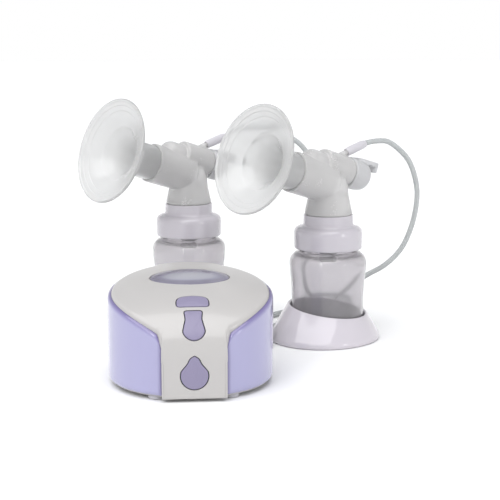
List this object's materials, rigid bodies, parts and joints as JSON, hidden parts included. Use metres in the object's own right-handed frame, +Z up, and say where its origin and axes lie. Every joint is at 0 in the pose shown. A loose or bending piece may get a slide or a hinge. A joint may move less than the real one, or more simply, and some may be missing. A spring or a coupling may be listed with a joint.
{
  "type": "breast pump",
  "caption": "Table-top double electric breast pump: round pump unit with push buttons, joined by soft tubing to collection kits with shields, bottles and stands.",
  "frame": {"origin": "middle of the plan box of the whole set without its tubing, on the table it stands on", "axes": "+Z up; -Y is the way the front of the pump unit faces; +X to the right as seen from the front"},
  "size_m": [0.2624, 0.2696, 0.1773],
  "materials": {
    "casing_white": "smooth white moulded shell",
    "panel_lavender": "high gloss",
    "button_lavender": "satin",
    "window_smoke": "glossy smoked window",
    "display_grey": "display glass in a frame",
    "board_green": "lacquered board",
    "plated_steel": "plated",
    "motor_can": "rolled can",
    "inner_plastic": "moulded",
    "black_plastic": "moulded",
    "diaphragm_rubber": "matt",
    "foot_rubber": "matt",
    "shield_clear": "clear, soft lip",
    "connector_frost": "frosted translucent",
    "silicone_milky": "milky silicone",
    "sleeve_white": "soft sleeve",
    "collar_white": "translucent white",
    "bottle_clear": "clear",
    "stand_white": "high gloss",
    "tube_clear": "clear flexible tubing"
  },
  "bodies": {
    "root": {"base_shell": "casing_white", "top_cover": "casing_white", "left_side_panel": "panel_lavender", "right_side_panel": "panel_lavender", "display_window": "window_smoke", "display_module": "display_grey", "control_board": "board_green", "button_switches": "plated_steel", "case_screws": "plated_steel", "motor": "motor_can", "motor_bracket": "inner_plastic", "connecting_rod": "inner_plastic", "pump_head": "inner_plastic", "air_manifold": "inner_plastic", "outlet_ports": "inner_plastic", "release_valve": "black_plastic", "power_inlet": "black_plastic", "pump_diaphragm": "diaphragm_rubber", "feet": "foot_rubber", "right_stand": "stand_white", "left_stand": "stand_white", "right_tube": "tube_clear", "right_coil": "tube_clear", "left_tube": "tube_clear", "left_coil": "tube_clear"},
    "power_button": {"power_button": "button_lavender"},
    "mode_button": {"mode_button": "button_lavender"},
    "suction_button": {"suction_button": "button_lavender"},
    "motor_rotor": {"eccentric_shaft": "plated_steel"},
    "right_kit": {"right_connector": "connector_frost", "right_membrane": "silicone_milky", "right_tube_sleeve": "sleeve_white", "right_duckbill": "silicone_milky", "right_bottle": "bottle_clear"},
    "right_shield": {"right_shield": "shield_clear"},
    "right_backflow_cap": {"right_backflow_cap": "silicone_milky"},
    "right_collar": {"right_collar": "collar_white"},
    "left_kit": {"left_connector": "connector_frost", "left_membrane": "silicone_milky", "left_tube_sleeve": "sleeve_white", "left_duckbill": "silicone_milky", "left_bottle": "bottle_clear"},
    "left_shield": {"left_shield": "shield_clear"},
    "left_backflow_cap": {"left_backflow_cap": "silicone_milky"},
    "left_collar": {"left_collar": "collar_white"}
  },
  "joints": [
    {"name": "power_press", "type": "slide", "parent": "root", "child": "power_button", "axis": [0, 0.3746, -0.9272], "range_m": [0, 0.0008], "stiffness_N_per_m": 400},
    {"name": "mode_press", "type": "slide", "parent": "root", "child": "mode_button", "axis": [0, 0.848, -0.5299], "range_m": [0, 0.0008], "stiffness_N_per_m": 400},
    {"name": "suction_press", "type": "slide", "parent": "root", "child": "suction_button", "axis": [0, 1, 0], "range_m": [0, 0.0008], "stiffness_N_per_m": 400},
    {"name": "motor_spin", "type": "hinge", "parent": "root", "child": "motor_rotor", "pos_m": [-0.0265, -0.067, 0.022], "axis": [1, 0, 0], "continuous": true},
    {"name": "right_kit_lift", "type": "slide", "parent": "root", "child": "right_kit", "axis": [0, 0, 1], "range_m": [0, 0.03], "deforming": ["right_tube"]},
    {"name": "right_shield_pull", "type": "slide", "parent": "right_kit", "child": "right_shield", "axis": [-0.7784, -0.5511, 0.3007], "range_m": [0, 0.022]},
    {"name": "right_collar_turn", "type": "hinge", "parent": "right_kit", "child": "right_collar", "pos_m": [0.0705, 0.028, 0.075], "axis": [0, 0, 1], "range_deg": [0, 180]},
    {"name": "right_cap_pull", "type": "slide", "parent": "right_kit", "child": "right_backflow_cap", "axis": [0.7784, 0.5511, -0.3007], "range_m": [0, 0.012]},
    {"name": "left_kit_lift", "type": "slide", "parent": "root", "child": "left_kit", "axis": [0, 0, 1], "range_m": [0, 0.03], "deforming": ["left_tube"]},
    {"name": "left_shield_pull", "type": "slide", "parent": "left_kit", "child": "left_shield", "axis": [-0.7784, -0.5511, 0.3007], "range_m": [0, 0.022]},
    {"name": "left_collar_turn", "type": "hinge", "parent": "left_kit", "child": "left_collar", "pos_m": [-0.03, 0.096, 0.075], "axis": [0, 0, 1], "range_deg": [0, 180]},
    {"name": "left_cap_pull", "type": "slide", "parent": "left_kit", "child": "left_backflow_cap", "axis": [0.7784, 0.5511, -0.3007], "range_m": [0, 0.012]}
  ]
}
